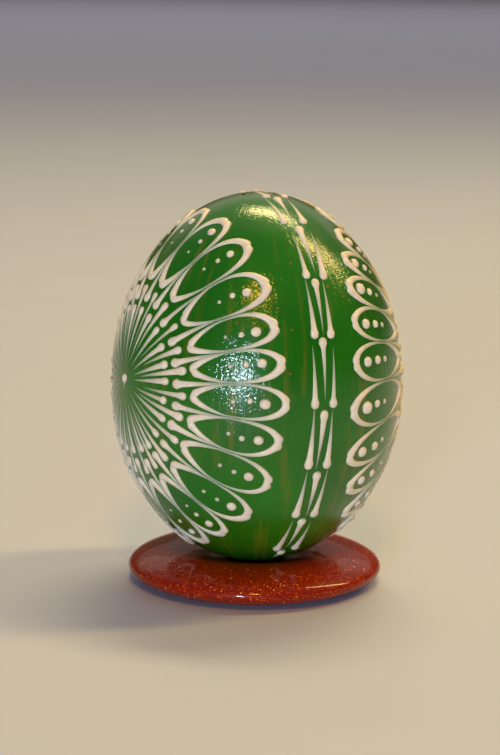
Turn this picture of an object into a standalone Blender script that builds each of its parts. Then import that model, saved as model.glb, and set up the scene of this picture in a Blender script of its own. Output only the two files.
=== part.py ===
"""A painted hen's egg with a raised pattern of wax drops, standing on a ring of polished glass.

The egg and the ring are two closed solids. The wax is bonded to the shell, so the two share one skin:
it is triangulated between the outlines and the crests of the drops, and bent from a sphere into an egg.
"""
import math
from collections import namedtuple

import bmesh
import bpy
import numpy as np
from mathutils import Vector
from mathutils.geometry import delaunay_2d_cdt

MM = 0.001

# Shell
EGG_WIDE = 45.2 * MM
EGG_TALL = 58.0 * MM
BLUNT_FOOT = 0.032
FULL_ENDS = 0.009

# Glass ring
RING_ACROSS = 40.0 * MM
RING_HOLE = 9.0 * MM
RING_THICK = 5.2 * MM
RING_FLAT = 4.0 * MM
RING_FULLNESS = 2.0
RING_STEPS = 40
RING_SIDES = 16
REST_GAP = 0.3 * MM

# Wax: how high a drop stands for each millimetre of its width
WAX_RISE = 0.34

# Rosettes: where their middles lie, as a turn about Z and a tilt above the level, in degrees; the half
# widths of a petal's beads; and how far the hand strayed from an even spacing and from an even reach,
# petal by petal from the top
Rosette = namedtuple("Rosette", "turn tilt petals first_petal reach beads strays reaches")
ROSETTES = (
    Rosette(
        turn=-153.3,
        tilt=2.4,
        petals=24,
        first_petal=90.6,
        reach=76.0,
        beads=(0.8 * MM, 0.5 * MM, 0.36 * MM),
        strays={0: -0.8, 2: -0.2, 3: 2.2, 4: 2.8, 5: 0.3, 7: -0.8, 8: -0.6, 9: 1.0, 10: 0.5, 11: -1.0},
        reaches={3: 0.995, 4: 0.98, 5: 0.985, 7: 0.989, 8: 0.982, 9: 0.981, 10: 0.96, 11: 0.965},
    ),
    Rosette(
        turn=26.7,
        tilt=2.4,
        petals=26,
        first_petal=265.5,
        reach=79.0,
        beads=(0.93 * MM, 0.72 * MM, 0.44 * MM),
        strays={16: -1.5, 17: -1.7, 18: -2.8, 20: 2.7, 21: 3.4, 22: 3.0, 23: 0.8, 24: -2.3},
        reaches={16: 1.02, 17: 1.015, 18: 1.02, 20: 0.975, 21: 0.965, 22: 0.975, 23: 0.97, 24: 0.96},
    ),
)
# Share of its reach that a rosette loses straight above and below its middle
UPRIGHT_LOSS = 0.15

# Places along a petal, as shares of the rosette's reach
PETAL_FOOT = 0.508
PETAL_WAIST = 0.75
PETAL_TIP = 0.976
ARCH_END = 0.69
CHEVRON_END = 0.68
BEAD_PLACES = (0.875, 0.803, 0.732)
BEAD_CORNERS = (6, 5, 4)
PETAL_FILL = 0.86
# A drop above or below a rosette's middle is this much narrower than one beside it
UPRIGHT_THINNER = 0.15

# Band of drops round both ends of the egg
BAND_GROUPS = 18
BAND_FIRST = 10.4
BAND_MIDDLE = 89.8
BAND_SPREAD = 1.55 * MM
BAND_DROP = 18.6
BAND_STRAYS = {1: -0.8, 2: 1.4, 4: 0.8, 5: 0.8, 6: -0.7, 7: -1.0}
BAND_HALF_WIDTH = 0.78 * MM

# The pattern stops short of the place where the shell rests on the ring
BARE_FOOT = 27.0
# The skin's two halves meet on this circle about the first rosette, in degrees
SEAM_AWAY = 99.4
SEAM_POINTS = 56
OPEN_SPACING = 4.8 * MM
CLEAR_OF_WAX = 1.4 * MM


def sphere_fullness(level):
    """Factor that turns the sphere's radius at this level, from -1 to 1, into the egg's."""
    return 1.0 - BLUNT_FOOT * level + FULL_ENDS * level * level


LEVELS = np.linspace(-1.0, 1.0, 4001)
WIDEST = float(np.max(np.sqrt(1.0 - LEVELS**2) * sphere_fullness(LEVELS)))


def on_egg(direction, rise=0.0):
    """Point of the egg's surface for a unit direction, lifted off it by rise."""
    across = EGG_WIDE / 2 * sphere_fullness(direction[2]) / WIDEST
    point = direction * np.array((across, across, EGG_TALL / 2))
    normal = direction / np.array((EGG_WIDE, EGG_WIDE, EGG_TALL))
    return point + normal / np.linalg.norm(normal) * rise


def to_direction(point):
    """The unit direction whose surface point is nearest to this one."""
    level = min(1.0, max(-1.0, point[2] / (EGG_TALL / 2)))
    across = EGG_WIDE / 2 * sphere_fullness(level) / WIDEST
    direction = point / np.array((across, across, EGG_TALL / 2))
    return direction / np.linalg.norm(direction)


def axes_of(turn, tilt):
    """Outward, up and right-hand directions at a place on the sphere."""
    turn, tilt = math.radians(turn), math.radians(tilt)
    outward = np.array(
        (math.cos(tilt) * math.cos(turn), math.cos(tilt) * math.sin(turn), math.sin(tilt))
    )
    up = np.array((0.0, 0.0, 1.0)) - outward[2] * outward
    up /= np.linalg.norm(up)
    return outward, up, np.cross(up, outward)


def from_middle(axes, away, bearing):
    """Direction this many degrees away from a middle, on a bearing clockwise from up."""
    outward, up, right = axes
    away, bearing = math.radians(away), math.radians(bearing)
    aside = math.cos(bearing) * up + math.sin(bearing) * right
    return math.cos(away) * outward + math.sin(away) * aside


def reach_on(bearing, reach):
    return reach * (1.0 - UPRIGHT_LOSS * math.cos(math.radians(bearing)) ** 2)


def petal_bearings(rosette, axes):
    """Bearings of the petals, an equal distance apart along the rosette's rim."""
    bearings = np.linspace(0.0, 360.0, 721)
    rim = np.array([on_egg(from_middle(axes, reach_on(b, rosette.reach), b)) for b in bearings])
    walked = np.concatenate(([0.0], np.cumsum(np.linalg.norm(np.diff(rim, axis=0), axis=1))))
    start = np.interp(rosette.first_petal, bearings, walked)
    stops = (start + walked[-1] * np.arange(rosette.petals) / rosette.petals) % walked[-1]
    even = sorted(float(b) for b in np.interp(stops, walked, bearings))
    return [bearing + rosette.strays.get(i, 0.0) for i, bearing in enumerate(even)]


# A drop of wax: its outline, a closed loop of directions, and its crest, each with its rise
Drop = namedtuple("Drop", "outline crest rises")


def drop_along(stations):
    """A drop whose middle line and half widths are given as (direction, half width); it is pointed
    at both ends."""
    points = [on_egg(direction) for direction, _ in stations]
    left, right = [], []
    for i in range(1, len(stations) - 1):
        direction, half = stations[i]
        ahead = points[i + 1] - points[i - 1]
        aside = np.cross(direction, ahead)
        aside *= half / np.linalg.norm(aside)
        left.append(to_direction(points[i] + aside))
        right.append(to_direction(points[i] - aside))
    outline = [stations[0][0], *left, stations[-1][0], *reversed(right)]
    inner = stations[1:-1]
    return Drop(outline, [d for d, _ in inner], [2 * WAX_RISE * half for _, half in inner])


def teardrop(place, head, tail, half):
    """A drop from its thick head to its thin tail; place(share) gives the directions between."""
    shares = (0.0, 0.07, 0.22, 1.0)
    widths = (0.0, 0.82 * half, half, 0.0)
    return drop_along([(place(head + (tail - head) * s), w) for s, w in zip(shares, widths)])


def bead(direction, half, corners):
    """A round bead with a single high point."""
    point = on_egg(direction)
    aside = np.cross(direction, (0.0, 0.0, 1.0))
    aside /= np.linalg.norm(aside)
    up = np.cross(aside, direction)
    outline = []
    for i in range(corners):
        angle = 2 * math.pi * i / corners
        offset = math.cos(angle) * aside + math.sin(angle) * up
        outline.append(to_direction(point + half * offset))
    return Drop(outline, [direction], [2 * WAX_RISE * half])


def petal_side(share):
    """How far a petal's line lies from its middle line, as a share of half the petals' spacing."""
    if share > PETAL_WAIST:
        along = (share - PETAL_WAIST) / (PETAL_TIP - PETAL_WAIST)
        width = (1.0 - min(1.0, along) ** 2) ** 0.5
    else:
        along = (PETAL_WAIST - share) / (PETAL_WAIST - PETAL_FOOT)
        width = (1.0 - min(1.0, along) ** 2) ** 0.6
    return PETAL_FILL * width


def petal(rosette, axes, bearing, half_spacing, longer):
    """An arch round the tip, a chevron at the foot, and three beads that shrink towards it."""
    stretch = PETAL_TIP * (longer - 1.0) / (PETAL_TIP - PETAL_WAIST)

    def place(share, side):
        stretched = share + stretch * max(0.0, share - PETAL_WAIST)
        away = stretched * reach_on(bearing, rosette.reach)
        turned = bearing + side * half_spacing * petal_side(share)
        return from_middle(axes, away, turned)

    def from_both_ends(half_line):
        far_side = [(place(share, -1), half) for share, half in half_line]
        near_side = [(place(share, 1), half) for share, half in reversed(half_line[:-1])]
        return drop_along(far_side + near_side)

    arch = (
        (ARCH_END, 0.0),
        (0.76, 0.18 * MM),
        (0.88, 0.36 * MM),
        (0.947, 0.58 * MM),
        (PETAL_TIP, 0.68 * MM),
    )
    chevron = ((CHEVRON_END, 0.0), (0.575, 0.34 * MM), (PETAL_FOOT, 0.6 * MM))
    sizes = zip(BEAD_PLACES, rosette.beads, BEAD_CORNERS)
    beads = [bead(place(share, 0), half, corners) for share, half, corners in sizes]
    return [from_both_ends(arch), from_both_ends(chevron), *beads]


def rays(rosette, axes, bearing, boundary):
    """A long ray on a petal's middle line, and a short ray and an outward drop on its boundary."""

    def straight(on_bearing):
        return lambda share: from_middle(axes, share * reach_on(on_bearing, rosette.reach), on_bearing)

    size = (1.0 - UPRIGHT_THINNER * math.cos(math.radians(bearing)) ** 2) * MM
    return [
        teardrop(straight(bearing), head=0.468, tail=0.16, half=0.68 * size),
        teardrop(straight(boundary), head=0.362, tail=0.09, half=0.62 * size),
        teardrop(straight(boundary), head=0.388, tail=0.64, half=0.74 * size),
    ]


def rosette_drops(rosette):
    axes = axes_of(rosette.turn, rosette.tilt)
    bearings = petal_bearings(rosette, axes)
    drops = []
    for i, bearing in enumerate(bearings):
        after = bearings[(i + 1) % len(bearings)]
        spacing = (after - bearing) % 360.0
        before = (bearing - bearings[i - 1]) % 360.0
        longer = rosette.reaches.get(i, 1.0)
        drops += petal(rosette, axes, bearing, min(spacing, before) / 2, longer)
        drops += rays(rosette, axes, bearing, bearing + spacing / 2)
    return drops


def band_drops():
    """Groups of three: two side drops with their heads forward, one between them running on."""
    axes = axes_of(ROSETTES[0].turn, ROSETTES[0].tilt)
    drops = []
    for group in range(BAND_GROUPS):
        start = BAND_FIRST + 360.0 / BAND_GROUPS * group + BAND_STRAYS.get(group, 0.0)
        for side, head, tail in ((-1, 0.3, -BAND_DROP), (1, 0.3, -BAND_DROP), (0, 0.6, BAND_DROP)):

            def place(step, side=side, start=start):
                aside = math.degrees(BAND_SPREAD / (EGG_WIDE / 2))
                return from_middle(axes, BAND_MIDDLE + side * aside, start + step)

            drops.append(teardrop(place, head, tail, BAND_HALF_WIDTH))
    return drops


def clear_of_foot(drop):
    """Whether a drop stays off the part of the shell that rests in the ring."""
    lowest = min(direction[2] for direction in drop.outline)
    return lowest > -math.cos(math.radians(BARE_FOOT))


def open_ground(axes, farthest, taken):
    """Points that carry the bare shell's curve between the drops."""
    spots = []
    step = math.degrees(OPEN_SPACING / (EGG_WIDE / 2))
    taken_points = np.array([on_egg(direction) for direction in taken])
    for ring in range(int(farthest / step)):
        away = (ring + 0.5) * step
        count = max(4, round(360.0 * math.sin(math.radians(away)) / step))
        for i in range(count):
            direction = from_middle(axes, away, 360.0 * (i + 0.5 * (ring % 2)) / count)
            gap = np.min(np.linalg.norm(taken_points - on_egg(direction), axis=1))
            if gap > CLEAR_OF_WAX:
                spots.append(direction)
    return spots


def add_skin(mesh, axes, farthest, seam, drops):
    """Adds one half of the skin: a disc about the axes, triangulated between seam and drops."""
    directions, rises, edges = list(seam), [0.0] * len(seam), []
    edges += [(i, (i + 1) % len(seam)) for i in range(len(seam))]
    for drop in drops:
        first = len(directions)
        corners = len(drop.outline)
        directions += drop.outline + drop.crest
        rises += [0.0] * corners + drop.rises
        edges += [(first + i, first + (i + 1) % corners) for i in range(corners)]
        crest = list(range(first + corners, len(directions)))
        if len(crest) > 1:
            crest = [first, *crest, first + corners // 2]
        edges += zip(crest, crest[1:])
    spots = open_ground(axes, farthest - 3.0, directions)
    directions += spots
    rises += [0.0] * len(spots)

    outward, up, right = axes
    flat = []
    for direction in directions:
        away = math.acos(min(1.0, max(-1.0, float(direction @ outward))))
        aside = Vector((float(direction @ right), float(direction @ up)))
        flat.append(aside.normalized() * away if aside.length > 1e-9 else Vector((0.0, 0.0)))
    spots_2d, _, faces, sources, _, _ = delaunay_2d_cdt(flat, edges, [], 0, 1e-6)

    vertices = []
    raised = []
    for spot, source in zip(spots_2d, sources):
        if source:
            direction, rise = directions[source[0]], rises[source[0]]
        else:
            bearing = math.degrees(math.atan2(spot.x, spot.y))
            direction, rise = from_middle(axes, math.degrees(spot.length), bearing), 0.0
        vertices.append(mesh.verts.new(on_egg(direction, rise)))
        raised.append(rise > 0.0)
    for face in faces:
        new_face = mesh.faces.new([vertices[i] for i in face])
        new_face.material_index = int(any(raised[i] for i in face))


def egg_mesh():
    """The shell with its wax, about its own middle."""
    first, second = (axes_of(r.turn, r.tilt) for r in ROSETTES)
    back = (-first[0], first[1], -first[2])
    bearings = [360.0 * i / SEAM_POINTS for i in range(SEAM_POINTS)]
    seam = [from_middle(first, SEAM_AWAY, bearing) for bearing in bearings]
    front_drops = [d for d in rosette_drops(ROSETTES[0]) + band_drops() if clear_of_foot(d)]
    back_drops = [d for d in rosette_drops(ROSETTES[1]) if clear_of_foot(d)]
    shape = bmesh.new()
    add_skin(shape, first, SEAM_AWAY, seam, front_drops)
    add_skin(shape, back, 180.0 - SEAM_AWAY, seam, back_drops)
    bmesh.ops.remove_doubles(shape, verts=shape.verts, dist=0.00001)
    bmesh.ops.recalc_face_normals(shape, faces=shape.faces)
    mesh = bpy.data.meshes.new("egg")
    shape.to_mesh(mesh)
    shape.free()
    return mesh


def ring_half_height(radius):
    """Half the height of the ring's uncut section at this distance from its axis."""
    middle = (RING_ACROSS + RING_HOLE) / 4
    half = (RING_ACROSS - RING_HOLE) / 4
    aside = min(1.0, abs(radius - middle) / half)
    return RING_THICK / 2 * (1.0 - aside**RING_FULLNESS) ** (1.0 / RING_FULLNESS)


def ring_section():
    """Closed section of the ring as (radius, height), down the outside and up through the hole."""
    middle = (RING_ACROSS + RING_HOLE) / 4
    half = (RING_ACROSS - RING_HOLE) / 4
    foot = ring_half_height(middle + RING_FLAT / 2)
    points = []
    landed = False
    for i in range(RING_SIDES):
        angle = math.pi / 2 - 2 * math.pi * (i + 0.5) / RING_SIDES
        reach = abs(math.cos(angle)) ** RING_FULLNESS + abs(math.sin(angle)) ** RING_FULLNESS
        reach **= -1.0 / RING_FULLNESS
        height = RING_THICK / 2 * reach * math.sin(angle) + foot
        if height > 0.0:
            points.append((middle + half * reach * math.cos(angle), height))
        elif not landed:
            points += [(middle + RING_FLAT / 2, 0.0), (middle - RING_FLAT / 2, 0.0)]
            landed = True
    return points


def ring_top(radius):
    return ring_half_height(radius) + ring_half_height((RING_ACROSS + RING_HOLE) / 4 + RING_FLAT / 2)


def egg_rest_height():
    """Height of the egg's middle when its foot settles into the ring's mouth."""
    low = LEVELS[LEVELS < -0.6]
    radii = EGG_WIDE / 2 * np.sqrt(1.0 - low**2) * sphere_fullness(low) / WIDEST
    lifts = [
        ring_top(radius) - EGG_TALL / 2 * level
        for radius, level in zip(radii, low)
        if radius > RING_HOLE / 2
    ]
    return max(lifts) + REST_GAP


def finish(name, red, green, blue, roughness, coat=0.0):
    """A Principled material of one colour."""
    material = bpy.data.materials.new(name)
    material.use_nodes = True
    shader = material.node_tree.nodes["Principled BSDF"]
    shader.inputs["Base Color"].default_value = (red, green, blue, 1.0)
    shader.inputs["Roughness"].default_value = roughness
    shader.inputs["Metallic"].default_value = 0.0
    shader.inputs["Coat Weight"].default_value = coat
    material.diffuse_color = (red, green, blue, 1.0)
    return material


def add_object(mesh, collection):
    mesh.shade_smooth()
    mesh.set_sharp_from_angle(angle=math.radians(32.0))
    made = bpy.data.objects.new(mesh.name, mesh)
    collection.objects.link(made)
    return made


def add_egg(collection):
    mesh = egg_mesh()
    mesh.materials.append(finish("green_varnished_paint", 0.018, 0.11, 0.012, 0.25, coat=0.6))
    mesh.materials.append(finish("white_wax", 0.72, 0.64, 0.53, 0.42))
    egg = add_object(mesh, collection)
    egg.location = (0.0, 0.0, egg_rest_height())
    return egg


def add_stand(collection):
    mesh = bpy.data.meshes.new("stand")
    section = ring_section()
    corners = [(radius, 0.0, height) for radius, height in section]
    sides = [(i, (i + 1) % len(corners)) for i in range(len(corners))]
    mesh.from_pydata(corners, sides, [])
    mesh.materials.append(finish("copper_flecked_glass", 0.19, 0.035, 0.008, 0.08))
    stand = add_object(mesh, collection)
    turned = stand.modifiers.new("turned", "SCREW")
    turned.axis = "Z"
    turned.steps = turned.render_steps = RING_STEPS
    turned.use_merge_vertices = True
    turned.merge_threshold = 0.00001
    return stand


def main():
    for old in list(bpy.data.objects):
        bpy.data.objects.remove(old)
    collection = bpy.data.collections.new("painted_egg_on_glass_ring")
    bpy.context.scene.collection.children.link(collection)
    add_stand(collection)
    add_egg(collection)


main()
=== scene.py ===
"""Looks of a painted hen's egg with wax drops on its varnished shell, standing on a ring of goldstone."""
import math
from collections import namedtuple

import bpy
import numpy as np
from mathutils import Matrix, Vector


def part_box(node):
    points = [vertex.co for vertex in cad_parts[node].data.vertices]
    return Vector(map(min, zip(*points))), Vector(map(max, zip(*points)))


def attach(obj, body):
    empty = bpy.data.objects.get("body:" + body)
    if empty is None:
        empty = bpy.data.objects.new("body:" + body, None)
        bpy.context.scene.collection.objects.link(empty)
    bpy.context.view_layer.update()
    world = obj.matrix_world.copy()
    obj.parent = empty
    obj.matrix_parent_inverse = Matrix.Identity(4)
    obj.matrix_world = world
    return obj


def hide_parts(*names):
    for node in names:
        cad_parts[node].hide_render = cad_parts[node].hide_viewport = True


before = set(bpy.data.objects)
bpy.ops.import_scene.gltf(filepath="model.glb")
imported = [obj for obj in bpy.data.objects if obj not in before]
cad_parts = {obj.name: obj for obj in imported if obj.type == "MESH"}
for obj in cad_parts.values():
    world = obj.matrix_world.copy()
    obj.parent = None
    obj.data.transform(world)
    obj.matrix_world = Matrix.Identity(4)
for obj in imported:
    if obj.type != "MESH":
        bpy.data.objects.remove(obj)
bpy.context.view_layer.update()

MM = 0.001

# Shell, as blown and painted; its foot is the lowest point of the egg in the frame
EGG_WIDE = 45.2 * MM
EGG_TALL = 58.0 * MM
BLUNT_FOOT = 0.032
FULL_ENDS = 0.009
EGG_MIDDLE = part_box("egg")[0].z + EGG_TALL / 2
SHELL_SEGMENTS = 256
SHELL_RINGS = 160

# Goldstone ring, as wide and thick as the frame's
RING_ACROSS = 40.0 * MM
RING_HOLE = 9.0 * MM
RING_THICK = 5.2 * MM
RING_FLAT = 4.0 * MM
RING_FULLNESS = 2.0
RING_SEGMENTS = 192
RING_SIDES = 64

FLOOR_WIDE = 16.0

# Wax: how high a drop stands for each millimetre of its width, half the width of its drawn-out tail, how
# deep it is sunk in the shell, and the half width from which it is opaque
WAX_RISE = 0.33
TAIL_HALF = 0.09 * MM
WAX_BITE = 0.06 * MM
OPAQUE_HALF = 0.5 * MM
# A drop's underside is the part of a ball that lies below this height, pressed to this share of its depth
UNDERSIDE = -0.01
PRESSED_FLAT = 0.1
# How closely a drop's rings crowd towards the middle of an arch, and towards the head of a plain drop
MIDDLE_CROWDING = 1.5
HEAD_CROWDING = 1.25
PATH_POINTS = 41
HAND = np.random.default_rng(12)

# Rosettes: the turn and tilt of their middles, their petals, and how far a petal's tip reaches, in degrees;
# the places of a petal's beads as shares of that reach, and their half widths in millimetres; and how far
# the hand strayed from an even spacing and an even reach, petal by petal, clockwise from the top
Rosette = namedtuple("Rosette", "name turn tilt petals first_petal reach beads strays reaches")
ROSETTES = (
    Rosette(
        name="wax_rosette_left",
        turn=-153.3,
        tilt=2.4,
        petals=24,
        first_petal=90.6,
        reach=76.0,
        beads=((0.876, 0.8), (0.798, 0.5), (0.718, 0.36)),
        strays={0: -0.8, 2: -0.2, 3: 2.2, 4: 2.8, 5: 0.3, 7: -0.8, 8: -0.6, 9: 1.0, 10: 0.5, 11: -1.0},
        reaches=dict(
            enumerate((1.0, 0.998, 1.004, 0.992, 0.98, 0.985, 0.998, 0.989, 0.982, 0.981, 0.96, 0.965))
        ),
    ),
    Rosette(
        name="wax_rosette_right",
        turn=26.7,
        tilt=2.4,
        petals=26,
        first_petal=265.5,
        reach=79.0,
        beads=((0.893, 0.93), (0.803, 0.7), (0.732, 0.44)),
        strays={16: -1.5, 17: -1.7, 18: -2.8, 20: 2.7, 21: 3.4, 22: 3.0, 23: 0.8, 24: -2.3},
        reaches=dict(enumerate((1.02, 1.015, 1.022, 1.0, 0.975, 0.965, 0.975, 0.97, 0.96), start=16)),
    ),
)
# Shares that a rosette's reach and its beads lose straight above and below its middle
UPRIGHT_LOSS = 0.15
BEAD_UPRIGHT_LOSS = 0.2

# Petals: their foot, waist and tip as shares of the reach, and the half width of their heads in millimetres
PETAL_FOOT = 0.508
PETAL_WAIST = 0.75
PETAL_TIP = 0.976
PETAL_HEAD = 0.74
# The two commas at a petal's tip: the share of the half spacing that they bow out to, where their tails end
# on the run of petal_line, their taper, and how far their heads swell in millimetres
TIP_SIDES = 0.93
TIP_TAILS_END = 1.5
TIP_TAPER = 2.1
TIP_SWELL = 0.23
# The two commas at its foot, in the same way, with how flat they bow and the size of their heads
FOOT_SIDES = 0.97
FOOT_TAILS_END = 0.95
FOOT_TAPER = 1.55
FOOT_SWELL = 0.1
FOOT_BOW = 1.15
FOOT_HEAD = 0.9

# Rays: where their heads and tails lie as shares of the reach, their half widths in millimetres, and their
# bodies' shares of those
Ray = namedtuple("Ray", "head tail half body")
MIDDLE_DOT = Ray(-0.03, 0.042, 0.76, 0.76)
MIDDLE_DOT_BEARING = 190.0
LONG_RAY = Ray(0.47, 0.16, 0.74, 0.76)
SHORT_RAY = Ray(0.366, 0.09, 0.7, 0.76)
OUTWARD_RAY = Ray(0.384, 0.7, 0.82, 0.72)
RAY_TAPER = 1.15

# Band of drops round both ends of the egg, in degrees along it from the top
BAND_GROUPS = 18
BAND_FIRST = 10.4
BAND_MIDDLE = 89.8
BAND_SPREAD = 1.55 * MM
BAND_LENGTH = 19.2
BAND_LEAN = 0.4
BAND_BODY = 0.78
BAND_TAPER = 1.25
BAND_STRAYS = {1: -0.8, 2: 1.4, 4: 0.8, 5: 0.8, 6: -0.7, 7: -1.0}
# The drops of one group: the side that each lies on, where its head and tail lie from the group's place,
# and its half width in millimetres
BandDrop = namedtuple("BandDrop", "side head tail half")
BAND_GROUP = (
    BandDrop(-1, 0.5, -BAND_LENGTH, 0.76),
    BandDrop(1, 0.5, -BAND_LENGTH, 0.76),
    BandDrop(0, 0.6, BAND_LENGTH, 0.8),
)
# No wax goes nearer than this to the shell's foot, where it rests in the ring
BARE_FOOT = 20.0

# Plug of the blow hole: its place from the egg's middle, and its half width
PLUG_PLACE = (-2.3 * MM, -1.24 * MM, 0.999 * EGG_TALL / 2)
PLUG_HALF = 0.42 * MM

# Sizes of the materials' patterns: how far apart their marks lie, and how deep the bumps are
BRISTLE_MARKS = 0.4 * MM
PAINT_STRIPES = 1.5 * MM
PAINT_CLOUDS = 12 * MM
WORN_PLACES = 7 * MM
PINHOLES = 2.6 * MM
PORES = 0.35 * MM
PORE_DEPTH = 0.03 * MM
VARNISH_RIDGES = 0.7 * MM
RIDGE_DEPTH = 0.066 * MM
WAX_CLOUDS = 1.5 * MM
WAX_RIPPLES = 0.5 * MM
RIPPLE_DEPTH = 0.03 * MM
PLUG_CLOUDS = 0.4 * MM
COPPER_DUST = 0.17 * MM
COPPER_FLAKES = 0.5 * MM
BOARD_CLOUDS = 40 * MM
# The varnish ran together smoother towards the egg's top, between these heights
SMOOTHER_FROM = 42 * MM
SMOOTHER_TO = 55 * MM


def linear(hex_colour):
    """A sRGB colour such as "#2c6a1f" as linear red, green, blue and 1."""
    channels = [int(hex_colour[i : i + 2], 16) / 255 for i in (1, 3, 5)]
    return (*(c / 12.92 if c <= 0.04045 else ((c + 0.055) / 1.055) ** 2.4 for c in channels), 1.0)


# The egg's shape: a unit sphere of directions, stretched upright and filled out towards its foot


def fullness(level):
    return 1.0 - BLUNT_FOOT * level + FULL_ENDS * level * level


# Levels from the foot to the top, among which the widest is looked for
LEVELS = np.linspace(-1.0, 1.0, 4001)
WIDEST = float(np.max(np.sqrt(1.0 - LEVELS**2) * fullness(LEVELS)))


def stretch_at(level):
    """How far the sphere is stretched along X, Y and Z at these levels."""
    across = EGG_WIDE / 2 * fullness(level) / WIDEST
    return np.stack((across, across, np.full_like(across, EGG_TALL / 2)), axis=-1)


def unit(vectors):
    return vectors / np.linalg.norm(vectors, axis=-1, keepdims=True)


def outward(directions):
    """The way out of the shell for these directions, as on a plain ellipsoid."""
    return unit(directions / np.array((EGG_WIDE, EGG_WIDE, EGG_TALL)))


def on_egg(directions, rise=0.0):
    """Points of the shell for these directions, lifted off it by rise; measured from the egg's middle."""
    lift = np.asarray(rise)[..., None] * outward(directions)
    return directions * stretch_at(directions[..., 2]) + lift


def to_directions(points):
    level = np.clip(points[..., 2] / (EGG_TALL / 2), -1.0, 1.0)
    return unit(points / stretch_at(level))


def axes_of(turn, tilt):
    """Outward, up and right-hand directions at a place on the sphere."""
    turn, tilt = math.radians(turn), math.radians(tilt)
    out = np.array((math.cos(tilt) * math.cos(turn), math.cos(tilt) * math.sin(turn), math.sin(tilt)))
    up = unit(np.array((0.0, 0.0, 1.0)) - out[2] * out)
    return out, up, np.cross(up, out)


def from_middle(axes, away, bearing):
    """Directions this many degrees away from a middle, on bearings clockwise from up."""
    out, up, right = axes
    away, bearing = np.radians(away)[..., None], np.radians(bearing)[..., None]
    return np.cos(away) * out + np.sin(away) * (np.cos(bearing) * up + np.sin(bearing) * right)


def kept_on(bearing, loss):
    """Share of a size that is kept on a bearing: all of it level with the middle, less above and below."""
    return 1.0 - loss * np.cos(np.radians(bearing)) ** 2


def reach_on(bearing, reach):
    return reach * kept_on(bearing, UPRIGHT_LOSS)


# Modelling helpers


def clear_selection():
    bpy.ops.object.select_all(action="DESELECT")


def newest(name):
    """The object that was just added, named and with its transform applied."""
    made = bpy.context.active_object
    made.name = made.data.name = name
    bpy.ops.object.transform_apply(location=True, rotation=True, scale=True)
    return made


def coordinates(mesh):
    flat = np.empty(len(mesh.vertices) * 3, np.float32)
    mesh.vertices.foreach_get("co", flat)
    return flat.reshape(-1, 3).astype(np.float64)


def set_coordinates(mesh, points):
    mesh.vertices.foreach_set("co", np.ascontiguousarray(points, np.float32).ravel())
    mesh.update()


def join_as(name, parts):
    """Joins objects into one piece."""
    clear_selection()
    for part in parts:
        part.select_set(True)
    bpy.context.view_layer.objects.active = parts[0]
    bpy.ops.object.join()
    parts[0].name = parts[0].data.name = name
    parts[0].data.shade_smooth()
    return parts[0]


# Shell


def model_shell():
    """A fine ball, stretched to the egg and filled out towards its blunt foot."""
    clear_selection()
    bpy.ops.mesh.primitive_uv_sphere_add(segments=SHELL_SEGMENTS, ring_count=SHELL_RINGS, radius=1.0)
    shell = newest("painted_shell")
    points = on_egg(unit(coordinates(shell.data)))
    points[:, 2] += EGG_MIDDLE
    set_coordinates(shell.data, points)
    shell.data.shade_smooth()
    return shell


# Wax


def master_drop(name, around, along):
    """A ball laid on its side, its poles along X, with the lower half pressed flat."""
    clear_selection()
    bpy.ops.mesh.primitive_uv_sphere_add(segments=around, ring_count=along, radius=1.0)
    drop = newest(name)
    bpy.ops.object.mode_set(mode="EDIT")
    bpy.ops.mesh.select_all(action="SELECT")
    bpy.ops.transform.rotate(value=math.pi / 2, orient_axis="Y", center_override=(0, 0, 0))
    bpy.ops.mesh.select_all(action="DESELECT")
    bpy.ops.object.mode_set(mode="OBJECT")
    for vertex in drop.data.vertices:
        vertex.select = vertex.co.z < UNDERSIDE
    bpy.ops.object.mode_set(mode="EDIT")
    bpy.ops.transform.resize(value=(1.0, 1.0, PRESSED_FLAT), center_override=(0, 0, 0))
    bpy.ops.object.mode_set(mode="OBJECT")
    return drop


# A drop's path, its head's half width, the body's share of that, and how fast the body tapers
Stroke = namedtuple("Stroke", "path head body taper")
# Two drops whose heads ran together in the middle of the path: the half widths of both, their taper, and
# how far the two heads stand out on the outer side
Arch = namedtuple("Arch", "path first second taper swell")
# How far each head lies from the middle and how wide it swells, how deep and wide the notch between them
# is, the share of its height that the wax loses there, and how fast one half width passes into the other
ARCH_HEAD_ASIDE = 0.55 * MM
ARCH_HEAD_REACH = 0.4 * MM
ARCH_NOTCH = 0.16 * MM
ARCH_NOTCH_REACH = 0.2 * MM
ARCH_DENT = 0.2
ARCH_PASSING = 8


def half_widths(stroke, walked, length):
    """Half width of a drop at these distances from its head's end: a round head on a tapering body."""
    left = np.clip(1.0 - walked / length, 0.0, 1.0)
    tail = min(TAIL_HALF, stroke.body * stroke.head)
    body = tail + (stroke.body * stroke.head - tail) * left**stroke.taper
    round_head = np.sqrt(np.clip(walked * (2 * stroke.head - walked), 0.0, None))
    in_head = walked < stroke.head
    half = np.where(in_head, round_head, np.maximum(round_head, body))
    return np.where(walked >= length, 0.0, half)


def arch_half_widths(arch, walked, length):
    """Half width of an arch: thin at both ends, and widest in the middle."""
    aside = 2 * walked / length - 1.0
    passed = 0.5 + 0.5 * np.clip(ARCH_PASSING * aside, -1.0, 1.0)
    head = arch.first + (arch.second - arch.first) * passed
    half = TAIL_HALF + (head - TAIL_HALF) * np.clip(1.0 - np.abs(aside), 0.0, 1.0) ** arch.taper
    return np.where(np.abs(aside) > 0.999, 0.0, half)


def hump(past, reach):
    """A smooth hump, 1 high, at these distances past its middle."""
    return np.exp(-((past / reach) ** 2))


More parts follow.
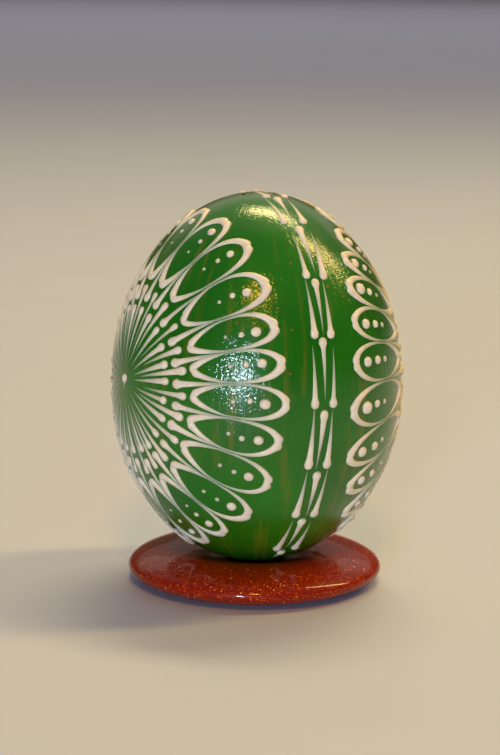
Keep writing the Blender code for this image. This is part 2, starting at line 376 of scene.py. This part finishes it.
def arch_swelling(arch, walked, length):
    """How far the two heads of an arch stand out on its outer side, with a notch between them."""
    past = walked - length / 2
    heads = hump(past + ARCH_HEAD_ASIDE, ARCH_HEAD_REACH) + hump(past - ARCH_HEAD_ASIDE, ARCH_HEAD_REACH)
    return arch.swell * heads - ARCH_NOTCH * hump(past, ARCH_NOTCH_REACH)


def arch_dip(walked, length):
    """Share of its height that an arch keeps: a little less between its two heads."""
    return 1.0 - ARCH_DENT * hump(walked - length / 2, ARCH_NOTCH_REACH)


def lay_drop(master, stroke):
    """A copy of a master drop, bent along a stroke's path on the shell."""
    made = master.copy()
    made.data = master.data.copy()
    bpy.context.scene.collection.objects.link(made)
    shape = coordinates(made.data)
    centres = on_egg(stroke.path)
    walked = np.concatenate(([0.0], np.cumsum(np.linalg.norm(np.diff(centres, axis=0), axis=1))))
    length = walked[-1]
    if isinstance(stroke, Arch):
        crowded = np.sign(shape[:, 0]) * np.abs(shape[:, 0]) ** MIDDLE_CROWDING
        along = (1.0 + crowded) / 2 * length
    else:
        along = np.clip((1.0 + shape[:, 0]) / 2, 0.0, 1.0) ** HEAD_CROWDING * length
    girth = np.sqrt(np.clip(1.0 - shape[:, 0] ** 2, 1e-9, None))
    across, up = shape[:, 1] / girth, shape[:, 2] / girth
    heading = np.gradient(centres, walked, axis=0)
    centre = np.stack([np.interp(along, walked, centres[:, i]) for i in range(3)], axis=-1)
    ahead = np.stack([np.interp(along, walked, heading[:, i]) for i in range(3)], axis=-1)
    aside = unit(np.cross(outward(to_directions(centre)), ahead))
    if isinstance(stroke, Arch):
        half = arch_half_widths(stroke, along, length)
        reach = half * across + arch_swelling(stroke, along, length) * np.clip(across, 0.0, 1.0)
        rise = 2 * WAX_RISE * half * arch_dip(along, length)
    else:
        half = half_widths(stroke, along, length)
        reach = half * across
        rise = 2 * WAX_RISE * half
    spots = to_directions(centre + aside * reach[:, None])
    points = on_egg(spots, rise * up - WAX_BITE)
    points[:, 2] += EGG_MIDDLE
    set_coordinates(made.data, points)
    depth = made.data.attributes.new("wax_depth", "FLOAT", "POINT")
    depth.data.foreach_set("value", np.clip(half / OPAQUE_HALF, 0.0, 1.0).astype(np.float32))
    return made


def wobble(size):
    """A small unsteadiness of the hand."""
    return float(HAND.normal(0.0, size))


def clear_of_foot(stroke):
    """The stroke, cut where it would run under the shell, or None where nothing is left of it."""
    clear = stroke.path[:, 2] > -math.cos(math.radians(BARE_FOOT))
    if clear.all():
        return stroke
    kept = stroke.path[: int(np.argmin(clear))]
    return stroke._replace(path=kept) if len(kept) > 5 and isinstance(stroke, Stroke) else None


def petal_bearings(rosette, axes):
    """Bearings of the petals, an equal distance apart along the rosette's rim."""
    bearings = np.linspace(0.0, 360.0, 721)
    rim = on_egg(from_middle(axes, reach_on(bearings, rosette.reach), bearings))
    walked = np.concatenate(([0.0], np.cumsum(np.linalg.norm(np.diff(rim, axis=0), axis=1))))
    start = np.interp(rosette.first_petal, bearings, walked)
    stops = (start + walked[-1] * np.arange(rosette.petals) / rosette.petals) % walked[-1]
    even = sorted(float(b) for b in np.interp(stops, walked, bearings))
    return [bearing + rosette.strays.get(i, 0.0) for i, bearing in enumerate(even)]


def petal_line(run, tip, bow=1.0):
    """Share of the reach and share of the half spacing along a petal's side: 0 tip, 1 waist, 2 foot."""
    outer = run < 1.0
    angle = np.where(outer, run, 2.0 - run) * math.pi / 2
    tip_side = PETAL_WAIST + (tip - PETAL_WAIST) * np.cos(angle)
    foot_side = PETAL_WAIST - (PETAL_WAIST - PETAL_FOOT) * np.cos(angle)
    aside = np.sign(angle) * np.abs(np.sin(angle)) ** np.where(outer, bow, FOOT_BOW)
    return np.where(outer, tip_side, foot_side), aside


def petal(rosette, axes, bearing, before, after, longer):
    """Two commas run together at the tip, two more at the foot, and three beads between them."""
    reach = reach_on(bearing, rosette.reach)
    longer *= 1.0 + wobble(0.005)
    tip = PETAL_TIP * longer
    tip_halves, foot_halves = [], []
    for side, gap in ((-1, before / 2), (1, after / 2)):
        share, aside = petal_line(np.linspace(0.0, TIP_TAILS_END, PATH_POINTS), tip, 1.0 + wobble(0.1))
        tip_halves.append(from_middle(axes, share * reach, bearing + side * gap * TIP_SIDES * aside))
        share, aside = petal_line(np.linspace(2.0, FOOT_TAILS_END + wobble(0.04), PATH_POINTS), tip)
        foot_halves.append(from_middle(axes, share * reach, bearing + side * gap * FOOT_SIDES * aside))
    heads = [(PETAL_HEAD + wobble(0.05)) * MM for _ in range(4)]
    foot_heads = [FOOT_HEAD * head for head in heads[2:]]
    tip_path = np.concatenate((tip_halves[0][::-1], tip_halves[1][1:]))
    foot_path = np.concatenate((foot_halves[1][::-1], foot_halves[0][1:]))
    strokes = [
        Arch(tip_path, heads[0], heads[1], TIP_TAPER, (TIP_SWELL + wobble(0.05)) * MM),
        Arch(foot_path, foot_heads[0], foot_heads[1], FOOT_TAPER, (FOOT_SWELL + wobble(0.03)) * MM),
    ]
    for share, radius in rosette.beads:
        centre = share * longer + wobble(0.004)
        lean = bearing + wobble(0.25)
        radius *= MM * kept_on(bearing, BEAD_UPRIGHT_LOSS) * (1.0 + wobble(0.06))
        strokes.append(bead(axes, centre * reach, lean, radius))
    return strokes


def bead(axes, away, bearing, radius):
    """A round drop: a stroke as long as it is wide."""
    step = math.degrees(radius / (EGG_WIDE / 2))
    aways = np.linspace(away - step, away + step, PATH_POINTS)
    path = from_middle(axes, aways, np.full(PATH_POINTS, bearing))
    centres = on_egg(path)
    length = np.linalg.norm(centres[-1] - centres[0])
    middle = centres[PATH_POINTS // 2]
    path = to_directions(middle + (centres - middle) * (2 * radius / length))
    return Stroke(path, radius, 0.0, 0.0)


def ray(rosette, axes, bearing, kind):
    """A straight drop on one bearing, from its head's share of the reach to its tail's."""
    shares = np.linspace(kind.head + wobble(0.006), kind.tail + wobble(0.012), PATH_POINTS)
    lean = bearing + wobble(0.5) + np.linspace(0.0, wobble(0.7), PATH_POINTS)
    path = from_middle(axes, shares * reach_on(bearing, rosette.reach), lean)
    half = kind.half * MM * kept_on(bearing, UPRIGHT_LOSS) * (1.0 + wobble(0.07))
    return Stroke(path, half, kind.body + wobble(0.07), RAY_TAPER)


def rosette_strokes(rosette):
    axes = axes_of(rosette.turn, rosette.tilt)
    bearings = petal_bearings(rosette, axes)
    strokes = [ray(rosette, axes, MIDDLE_DOT_BEARING, MIDDLE_DOT)]
    for i, bearing in enumerate(bearings):
        after = (bearings[(i + 1) % len(bearings)] - bearing) % 360.0
        before = (bearing - bearings[i - 1]) % 360.0
        boundary = bearing + after / 2
        strokes += petal(rosette, axes, bearing, before, after, rosette.reaches.get(i, 1.0))
        strokes.append(ray(rosette, axes, bearing, LONG_RAY))
        strokes.append(ray(rosette, axes, boundary, SHORT_RAY))
        strokes.append(ray(rosette, axes, boundary, OUTWARD_RAY))
    return strokes


def band_strokes():
    """Groups of three: two side drops with their heads forward, one between them running on."""
    axes = axes_of(ROSETTES[0].turn, ROSETTES[0].tilt)
    spread = math.degrees(BAND_SPREAD / (EGG_WIDE / 2))
    strokes = []
    for group in range(BAND_GROUPS):
        start = BAND_FIRST + 360.0 / BAND_GROUPS * group + BAND_STRAYS.get(group, 0.0)
        for drop in BAND_GROUP:
            bearing = start + np.linspace(drop.head + wobble(0.3), drop.tail + wobble(0.8), PATH_POINTS)
            lean = wobble(0.4) + np.linspace(0.0, drop.side * BAND_LEAN + wobble(0.5), PATH_POINTS)
            path = from_middle(axes, BAND_MIDDLE + drop.side * spread + lean, bearing)
            half = drop.half * MM * (1.0 + wobble(0.06))
            strokes.append(Stroke(path, half, BAND_BODY + wobble(0.1), BAND_TAPER))
    return strokes


def wax_piece(name, strokes):
    """One piece of wax from many strokes; an arch takes the master with more rings."""
    kept = [stroke for stroke in map(clear_of_foot, strokes) if stroke]
    laid = [lay_drop(LONG_DROP if isinstance(stroke, Arch) else DROP, stroke) for stroke in kept]
    return join_as(name, laid)


def model_plug():
    """The dab of dark paint that closes the blow hole near the egg's top."""
    hole = to_directions(np.array(PLUG_PLACE))
    right = np.array((1.0, 0.0, 0.0))
    axes = (hole, unit(np.cross(right, hole)), right)
    plug = lay_drop(DROP, bead(axes, 0.0, 0.0, PLUG_HALF))
    return join_as("blow_hole_plug", [plug])


# Ring


def ring_height(aside):
    """Half the ring's height at this share of its half width from the middle of its section."""
    return RING_THICK / 2 * (1.0 - np.minimum(1.0, np.abs(aside)) ** RING_FULLNESS) ** (1.0 / RING_FULLNESS)


def model_ring():
    """A torus, filled out to the ring's flattened section, with a flat foot to stand on."""
    middle = (RING_ACROSS + RING_HOLE) / 4
    half = (RING_ACROSS - RING_HOLE) / 4
    clear_selection()
    bpy.ops.mesh.primitive_torus_add(
        major_radius=middle, minor_radius=half, major_segments=RING_SEGMENTS, minor_segments=RING_SIDES
    )
    ring = newest("goldstone_ring")
    points = coordinates(ring.data)
    radius = np.hypot(points[:, 0], points[:, 1])
    angle = np.arctan2(points[:, 2], radius - middle)
    reach = np.abs(np.cos(angle)) ** RING_FULLNESS + np.abs(np.sin(angle)) ** RING_FULLNESS
    reach **= -1.0 / RING_FULLNESS
    foot = float(ring_height(RING_FLAT / 2 / half))
    new_radius = middle + half * reach * np.cos(angle)
    height = np.maximum(RING_THICK / 2 * reach * np.sin(angle), -foot) + foot
    points[:, :2] *= (new_radius / radius)[:, None]
    points[:, 2] = height
    set_coordinates(ring.data, points)
    ring.data.shade_smooth()
    return ring


# Materials


def add_node(tree, kind, inputs=(), **settings):
    """A node with its settings; an input takes a value, or a socket to be linked from."""
    made = tree.nodes.new(kind)
    for setting, value in settings.items():
        setattr(made, setting, value)
    for key, value in dict(inputs).items():
        if isinstance(value, bpy.types.NodeSocket):
            tree.links.new(value, made.inputs[key])
        else:
            made.inputs[key].default_value = value
    return made


def new_material(name):
    """A material with its tree, its Principled shader and the piece's own coordinates in metres."""
    material = bpy.data.materials.new(name)
    material.use_nodes = True
    tree = material.node_tree
    place = add_node(tree, "ShaderNodeTexCoord").outputs["Object"]
    return material, tree, tree.nodes["Principled BSDF"], place


def along_brush(tree, place):
    """Places in which brush marks run from end to end of the egg: they follow the turn about its axis, and
    only a tenth of the height."""
    flat = add_node(tree, "ShaderNodeVectorMath", {0: place, 1: (1.0, 1.0, 0.0)}, operation="MULTIPLY")
    turn = add_node(tree, "ShaderNodeVectorMath", {0: flat.outputs[0]}, operation="NORMALIZE")
    turned = add_node(
        tree, "ShaderNodeVectorMath", {0: turn.outputs[0], "Scale": EGG_WIDE / 2}, operation="SCALE"
    )
    rise = add_node(tree, "ShaderNodeVectorMath", {0: place, 1: (0.0, 0.0, 0.1)}, operation="MULTIPLY")
    return add_node(tree, "ShaderNodeVectorMath", {0: turned.outputs[0], 1: rise.outputs[0]}).outputs[0]


def marked_green(tree, place, brushed):
    """Colour of the paint where it covers: a clouded green, lighter and darker in the bristles' marks."""
    clouds = add_node(
        tree, "ShaderNodeTexNoise", {"Vector": place, "Scale": 1 / PAINT_CLOUDS, "Detail": 2.0}
    )
    green = add_node(tree, "ShaderNodeValToRGB", {"Fac": clouds.outputs["Fac"]})
    green.color_ramp.elements[0].position = 0.3
    green.color_ramp.elements[0].color = linear("#0f6008")
    green.color_ramp.elements[1].position = 0.7
    green.color_ramp.elements[1].color = linear("#18700c")
    bristles = add_node(
        tree, "ShaderNodeTexNoise", {"Vector": brushed, "Scale": 1 / BRISTLE_MARKS, "Detail": 2.0}
    )
    marks = add_node(
        tree,
        "ShaderNodeMapRange",
        {"Value": bristles.outputs["Fac"], "From Min": 0.3, "From Max": 0.7, "To Min": 0.93, "To Max": 1.05},
    )
    marked = add_node(
        tree,
        "ShaderNodeVectorMath",
        {0: green.outputs["Color"], "Scale": marks.outputs[0]},
        operation="SCALE",
    )
    return marked.outputs[0]


def worn_stripes(tree, place, brushed):
    """How much of the shell shows where the paint is thin: along some stripes, more so in a few places."""
    stripes = add_node(
        tree, "ShaderNodeTexNoise", {"Vector": brushed, "Scale": 1 / PAINT_STRIPES, "Detail": 3.0}
    )
    thin = add_node(
        tree,
        "ShaderNodeMapRange",
        {"Value": stripes.outputs["Fac"], "From Min": 0.53, "From Max": 0.7, "To Max": 0.55},
    )
    worn = add_node(tree, "ShaderNodeTexNoise", {"Vector": place, "Scale": 1 / WORN_PLACES, "Detail": 1.0})
    worn_here = add_node(
        tree, "ShaderNodeMapRange", {"Value": worn.outputs["Fac"], "From Min": 0.38, "From Max": 0.58}
    )
    show = add_node(
        tree, "ShaderNodeMath", {0: thin.outputs[0], 1: worn_here.outputs[0]}, operation="MULTIPLY"
    )
    return show.outputs[0]


def pinholes(tree, place):
    """How much of the shell shows through pinholes, about one to every two square centimetres."""
    holes = add_node(tree, "ShaderNodeTexVoronoi", {"Vector": place, "Scale": 1 / PINHOLES})
    chosen = add_node(tree, "ShaderNodeSeparateColor", {"Color": holes.outputs["Color"]})
    few = add_node(tree, "ShaderNodeMath", {0: chosen.outputs[0], 1: 0.8}, operation="GREATER_THAN")
    away = holes.outputs["Distance"]
    speck = add_node(
        tree,
        "ShaderNodeMapRange",
        {"Value": away, "From Min": 0.03, "From Max": 0.09, "To Min": 0.8, "To Max": 0.0},
    )
    specks = add_node(tree, "ShaderNodeMath", {0: few.outputs[0], 1: speck.outputs[0]}, operation="MULTIPLY")
    return specks.outputs[0]


def grainy_varnish(tree, place, brushed):
    """The way that the varnish faces: it is dimpled over the shell's pores and ridged by the brush, and it
    ran together smoother on the egg's top."""
    pores = add_node(tree, "ShaderNodeTexNoise", {"Vector": place, "Scale": 1 / PORES, "Detail": 1.5})
    dimples = add_node(
        tree, "ShaderNodeMapRange", {"Value": pores.outputs["Fac"], "From Min": 0.38, "From Max": 0.76}
    )
    height = add_node(tree, "ShaderNodeSeparateXYZ", {"Vector": place}).outputs["Z"]
    grainy = add_node(
        tree,
        "ShaderNodeMapRange",
        {"Value": height, "From Min": SMOOTHER_FROM, "From Max": SMOOTHER_TO, "To Min": 1.0, "To Max": 0.5},
    )
    grain = add_node(
        tree,
        "ShaderNodeBump",
        {"Height": dimples.outputs[0], "Strength": grainy.outputs[0], "Distance": PORE_DEPTH},
    )
    ridges = add_node(
        tree, "ShaderNodeTexNoise", {"Vector": brushed, "Scale": 1 / VARNISH_RIDGES, "Detail": 2.0}
    )
    brush = add_node(
        tree,
        "ShaderNodeBump",
        {
            "Height": ridges.outputs["Fac"],
            "Normal": grain.outputs[0],
            "Strength": grainy.outputs[0],
            "Distance": RIDGE_DEPTH,
        },
    )
    return brush.outputs[0]


def brushed_green_paint():
    """Acrylic brushed from end to end over brown shell, under a brushed gloss varnish: a deep green that
    thins to brown along the brush marks, with orange-brown specks and a broken, grainy shine."""
    material, tree, shader, place = new_material("brushed_green_paint_under_varnish")
    brushed = along_brush(tree, place)
    green = marked_green(tree, place, brushed)
    painted = add_node(
        tree,
        "ShaderNodeMix",
        {"Factor": worn_stripes(tree, place, brushed), "A": green, "B": linear("#6e6a16")},
        data_type="RGBA",
    )
    colour = add_node(
        tree,
        "ShaderNodeMix",
        {"Factor": pinholes(tree, place), "A": painted.outputs["Result"], "B": linear("#a8501a")},
        data_type="RGBA",
    )
    tree.links.new(colour.outputs["Result"], shader.inputs["Base Color"])
    tree.links.new(grainy_varnish(tree, place, brushed), shader.inputs["Coat Normal"])
    shader.inputs["Roughness"].default_value = 0.42
    shader.inputs["Specular IOR Level"].default_value = 0.1
    shader.inputs["Coat Weight"].default_value = 1.0
    shader.inputs["Coat Roughness"].default_value = 0.08
    shader.inputs["Coat IOR"].default_value = 1.48
    return material


def drawn_wax():
    """Bleached beeswax set from drops drawn out with a pin head: cream and satin where it is thick,
    thinning to a veil in the tails, through which the green shows."""
    material, tree, shader, place = new_material("drawn_white_beeswax")
    depth = add_node(tree, "ShaderNodeAttribute", attribute_name="wax_depth")
    body = add_node(tree, "ShaderNodeValToRGB", {"Fac": depth.outputs["Fac"]})
    body.color_ramp.elements[0].position = 0.12
    body.color_ramp.elements[0].color = linear("#6f8a68")
    body.color_ramp.elements[1].position = 0.95
    body.color_ramp.elements[1].color = linear("#e6dccb")
    middle = body.color_ramp.elements.new(0.5)
    middle.color = linear("#b4bba8")
    cloud = add_node(tree, "ShaderNodeTexNoise", {"Vector": place, "Scale": 1 / WAX_CLOUDS, "Detail": 2.0})
    tone = add_node(
        tree,
        "ShaderNodeMapRange",
        {"Value": cloud.outputs["Fac"], "From Min": 0.3, "From Max": 0.7, "To Min": 0.93, "To Max": 1.04},
    )
    toned = add_node(
        tree, "ShaderNodeVectorMath", {0: body.outputs["Color"], "Scale": tone.outputs[0]}, operation="SCALE"
    )
    tree.links.new(toned.outputs[0], shader.inputs["Base Color"])
    ripple = add_node(tree, "ShaderNodeTexNoise", {"Vector": place, "Scale": 1 / WAX_RIPPLES, "Detail": 1.0})
    skin = add_node(
        tree, "ShaderNodeBump", {"Height": ripple.outputs["Fac"], "Strength": 0.3, "Distance": RIPPLE_DEPTH}
    )
    tree.links.new(skin.outputs[0], shader.inputs["Normal"])
    shader.inputs["Roughness"].default_value = 0.42
    shader.inputs["IOR"].default_value = 1.44
    shader.inputs["Subsurface Weight"].default_value = 0.2
    shader.inputs["Subsurface Radius"].default_value = (1.0, 0.8, 0.55)
    shader.inputs["Subsurface Scale"].default_value = 0.5 * MM
    return material


def dark_paint():
    """A dab of thick green paint, glossy and nearly black."""
    material, tree, shader, place = new_material("thick_dark_green_paint")
    cloud = add_node(tree, "ShaderNodeTexNoise", {"Vector": place, "Scale": 1 / PLUG_CLOUDS})
    colour = add_node(
        tree,
        "ShaderNodeMix",
        {"Factor": cloud.outputs["Fac"], "A": linear("#0f3a14"), "B": linear("#1a5220")},
        data_type="RGBA",
    )
    tree.links.new(colour.outputs["Result"], shader.inputs["Base Color"])
    shader.inputs["Roughness"].default_value = 0.25
    return material


def goldstone():
    """Soda-lime glass, melted with copper and polished: clear over a red-brown depth that is packed with
    copper platelets, most of them a fine glitter, a few of them painted bright as glints."""
    material, tree, shader, place = new_material("polished_goldstone_glass")

    # Platelets, drawn a little coarser than they are, so that they show
    dust = add_node(tree, "ShaderNodeTexVoronoi", {"Vector": place, "Scale": 1 / COPPER_DUST})
    dust_tone = add_node(tree, "ShaderNodeSeparateColor", {"Color": dust.outputs["Color"]})
    ground = add_node(tree, "ShaderNodeValToRGB", {"Fac": dust_tone.outputs[0]})
    ground.color_ramp.elements[0].position = 0.35
    ground.color_ramp.elements[0].color = linear("#7c1402")
    ground.color_ramp.elements[1].position = 1.0
    ground.color_ramp.elements[1].color = linear("#d0560e")
    deep = ground.color_ramp.elements.new(0.88)
    deep.color = linear("#9c2303")

    # Bright platelets, in about one cell of six, painted bright as glints: copper or gold, with a rare pale
    # one that is a painted reflection of the cool light
    flakes = add_node(tree, "ShaderNodeTexVoronoi", {"Vector": place, "Scale": 1 / COPPER_FLAKES})
    pick = add_node(tree, "ShaderNodeSeparateColor", {"Color": flakes.outputs["Color"]})
    lit = add_node(tree, "ShaderNodeMath", {0: pick.outputs[0], 1: 0.84}, operation="GREATER_THAN")
    away = flakes.outputs["Distance"]
    small = add_node(
        tree,
        "ShaderNodeMapRange",
        {"Value": away, "From Min": 0.2, "From Max": 0.33, "To Min": 1.0, "To Max": 0.0},
    )
    flake_and_glint = add_node(tree, "ShaderNodeMath", {0: lit.outputs[0], 1: small.outputs[0]}, operation="MULTIPLY")
    glint_hue = add_node(tree, "ShaderNodeValToRGB", {"Fac": pick.outputs[1]})
    glint_hue.color_ramp.interpolation = "CONSTANT"
    glint_hue.color_ramp.elements[0].color = linear("#ff7424")
    glint_hue.color_ramp.elements[1].position = 0.95
    glint_hue.color_ramp.elements[1].color = linear("#dfe2f5")
    gold_glint = glint_hue.color_ramp.elements.new(0.6)
    gold_glint.color = linear("#ffa448")
    # The bright platelets' painted glints and painted reflections go into the colour, over the red-brown
    # depth
    colour = add_node(
        tree,
        "ShaderNodeMix",
        {"Factor": flake_and_glint.outputs[0], "A": ground.outputs["Color"], "B": glint_hue.outputs["Color"]},
        data_type="RGBA",
    )
    tree.links.new(colour.outputs["Result"], shader.inputs["Base Color"])
    metal = add_node(tree, "ShaderNodeMath", {0: flake_and_glint.outputs[0], 1: 0.25}, operation="MULTIPLY")
    tree.links.new(metal.outputs[0], shader.inputs["Metallic"])
    shader.inputs["Roughness"].default_value = 0.4
    shader.inputs["Specular IOR Level"].default_value = 0.1
    shader.inputs["Coat Weight"].default_value = 0.5
    shader.inputs["Coat Roughness"].default_value = 0.06
    shader.inputs["Coat IOR"].default_value = 1.52
    return material


def matt_floor():
    """Matt, cool white board, a little mottled, which the warm lamps turn to a pale cream."""
    material, tree, shader, place = new_material("matt_white_board")
    cloud = add_node(tree, "ShaderNodeTexNoise", {"Vector": place, "Scale": 1 / BOARD_CLOUDS})
    colour = add_node(
        tree,
        "ShaderNodeMix",
        {"Factor": cloud.outputs["Fac"], "A": linear("#c4cef0"), "B": linear("#c8d2f4")},
        data_type="RGBA",
    )
    tree.links.new(colour.outputs["Result"], shader.inputs["Base Color"])
    shader.inputs["Roughness"].default_value = 0.55
    return material


def dress(piece, material, slot, *nodes):
    """Gives a piece its material, its body and the nodes that it stands for."""
    piece.data.materials.clear()
    piece.data.materials.append(material)
    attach(piece, "root")
    if nodes:
        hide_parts(*nodes)


# Camera: 10.6 degrees above the level, 352 mm from the egg, with the object a little right of centre and
# held less than a degree out of level
VIEW_RISE = math.radians(10.6)
VIEW_ROLL = math.radians(0.7)
VIEW_DISTANCE = 351.5 * MM
VIEW_AIM = Vector((-1.065 * MM, 0.0, 32.5 * MM))
FOCAL_PIXELS = 2242.5
IMAGE_TALL = 755
SENSOR = 36.0


def from_view(turn, rise, distance):
    """A place this far from the egg, turned to the right of the camera and raised, in degrees."""
    turn, rise = math.radians(turn), math.radians(rise)
    back = Vector((math.sin(turn) * math.cos(rise), -math.cos(turn) * math.cos(rise), math.sin(rise)))
    return Vector((0.0, 0.0, EGG_MIDDLE)) + distance * back


def aim(thing, target):
    """Turns an object's -Z at a point, and applies nothing else."""
    thing.rotation_euler = (Vector(target) - thing.location).to_track_quat("-Z", "Y").to_euler()


def add_camera():
    camera = bpy.data.objects.new("camera", bpy.data.cameras.new("camera"))
    bpy.context.scene.collection.objects.link(camera)
    camera.location = VIEW_AIM + VIEW_DISTANCE * Vector((0.0, -math.cos(VIEW_RISE), math.sin(VIEW_RISE)))
    aim(camera, VIEW_AIM)
    camera.rotation_euler.rotate_axis("Z", VIEW_ROLL)
    camera.data.sensor_width = SENSOR
    camera.data.lens = FOCAL_PIXELS / IMAGE_TALL * SENSOR
    camera.data.clip_start = 0.01
    camera.data.clip_end = 100.0
    bpy.context.scene.camera = camera


def add_light(name, place, size, colour, power, target=(0.0, 0.0, EGG_MIDDLE)):
    """An oval area light that looks at the egg, or at another target."""
    light = bpy.data.objects.new(name, bpy.data.lights.new(name, "AREA"))
    bpy.context.scene.collection.objects.link(light)
    light.location = place
    aim(light, target)
    light.data.shape = "ELLIPSE"
    light.data.size, light.data.size_y = size
    light.data.color = linear(colour)[:3]
    light.data.energy = power


def add_lights():
    """A small cool light beside the camera, two warm strips behind and to the right, a small lamp above
    the camera, a broad ceiling that lights the floor, and a light for the far floor."""
    add_light("cool_front", from_view(-13.0, 5.0, 1.2), (0.14, 0.14), "#d6eaff", 8.2)
    add_light("warm_back", from_view(162.0, 63.0, 1.1), (0.66, 0.15), "#ffe8a0", 5.8)
    add_light("warm_right", from_view(104.0, 48.0, 0.9), (0.09, 0.56), "#ffd884", 3.4)
    add_light("lamp_above", from_view(1.0, 45.0, 1.2), (0.16, 0.16), "#ffb840", 3.6)
    add_light("ceiling", Vector((0.0, 2.5, 3.0)), (6.0, 6.0), "#fffcf8", 16.0)
    add_light("backdrop", Vector((0.0, 3.2, 1.5)), (6.0, 3.2), "#ffead0", 16.0, (0.0, 3.4, 0.0))


def add_room():
    """A dim room all around, brown below and grey above."""
    world = bpy.data.worlds.new("dim_room")
    world.use_nodes = True
    tree = world.node_tree
    way = add_node(tree, "ShaderNodeTexCoord").outputs["Generated"]
    height = add_node(tree, "ShaderNodeSeparateXYZ", {"Vector": way}).outputs["Z"]
    sky = add_node(tree, "ShaderNodeValToRGB", {"Fac": height})
    sky.color_ramp.elements[0].position = 0.25
    sky.color_ramp.elements[0].color = linear("#5e4732")
    sky.color_ramp.elements[1].position = 0.7
    sky.color_ramp.elements[1].color = linear("#6a6762")
    tree.links.new(sky.outputs["Color"], tree.nodes["Background"].inputs["Color"])
    tree.nodes["Background"].inputs["Strength"].default_value = 1.0
    bpy.context.scene.world = world


def add_floor():
    clear_selection()
    bpy.ops.mesh.primitive_plane_add(size=FLOOR_WIDE)
    floor = newest("floor")
    floor.data.materials.append(matt_floor())


add_camera()
add_lights()
add_room()
add_floor()

DROP = master_drop("master_drop", around=8, along=12)
LONG_DROP = master_drop("master_long_drop", around=8, along=72)
shell = model_shell()
wax_left, wax_right = (wax_piece(r.name, rosette_strokes(r)) for r in ROSETTES)
wax_band = wax_piece("wax_band", band_strokes())
plug = model_plug()
ring = model_ring()
for master in (DROP, LONG_DROP):
    bpy.data.objects.remove(master)

dress(shell, brushed_green_paint(), "painted_shell", "egg")
wax = drawn_wax()
for piece in (wax_left, wax_right, wax_band):
    dress(piece, wax, "white_wax")
dress(plug, dark_paint(), "painted_shell")
dress(ring, goldstone(), "goldstone_glass", "stand")

bpy.context.scene.view_settings.view_transform = "Standard"
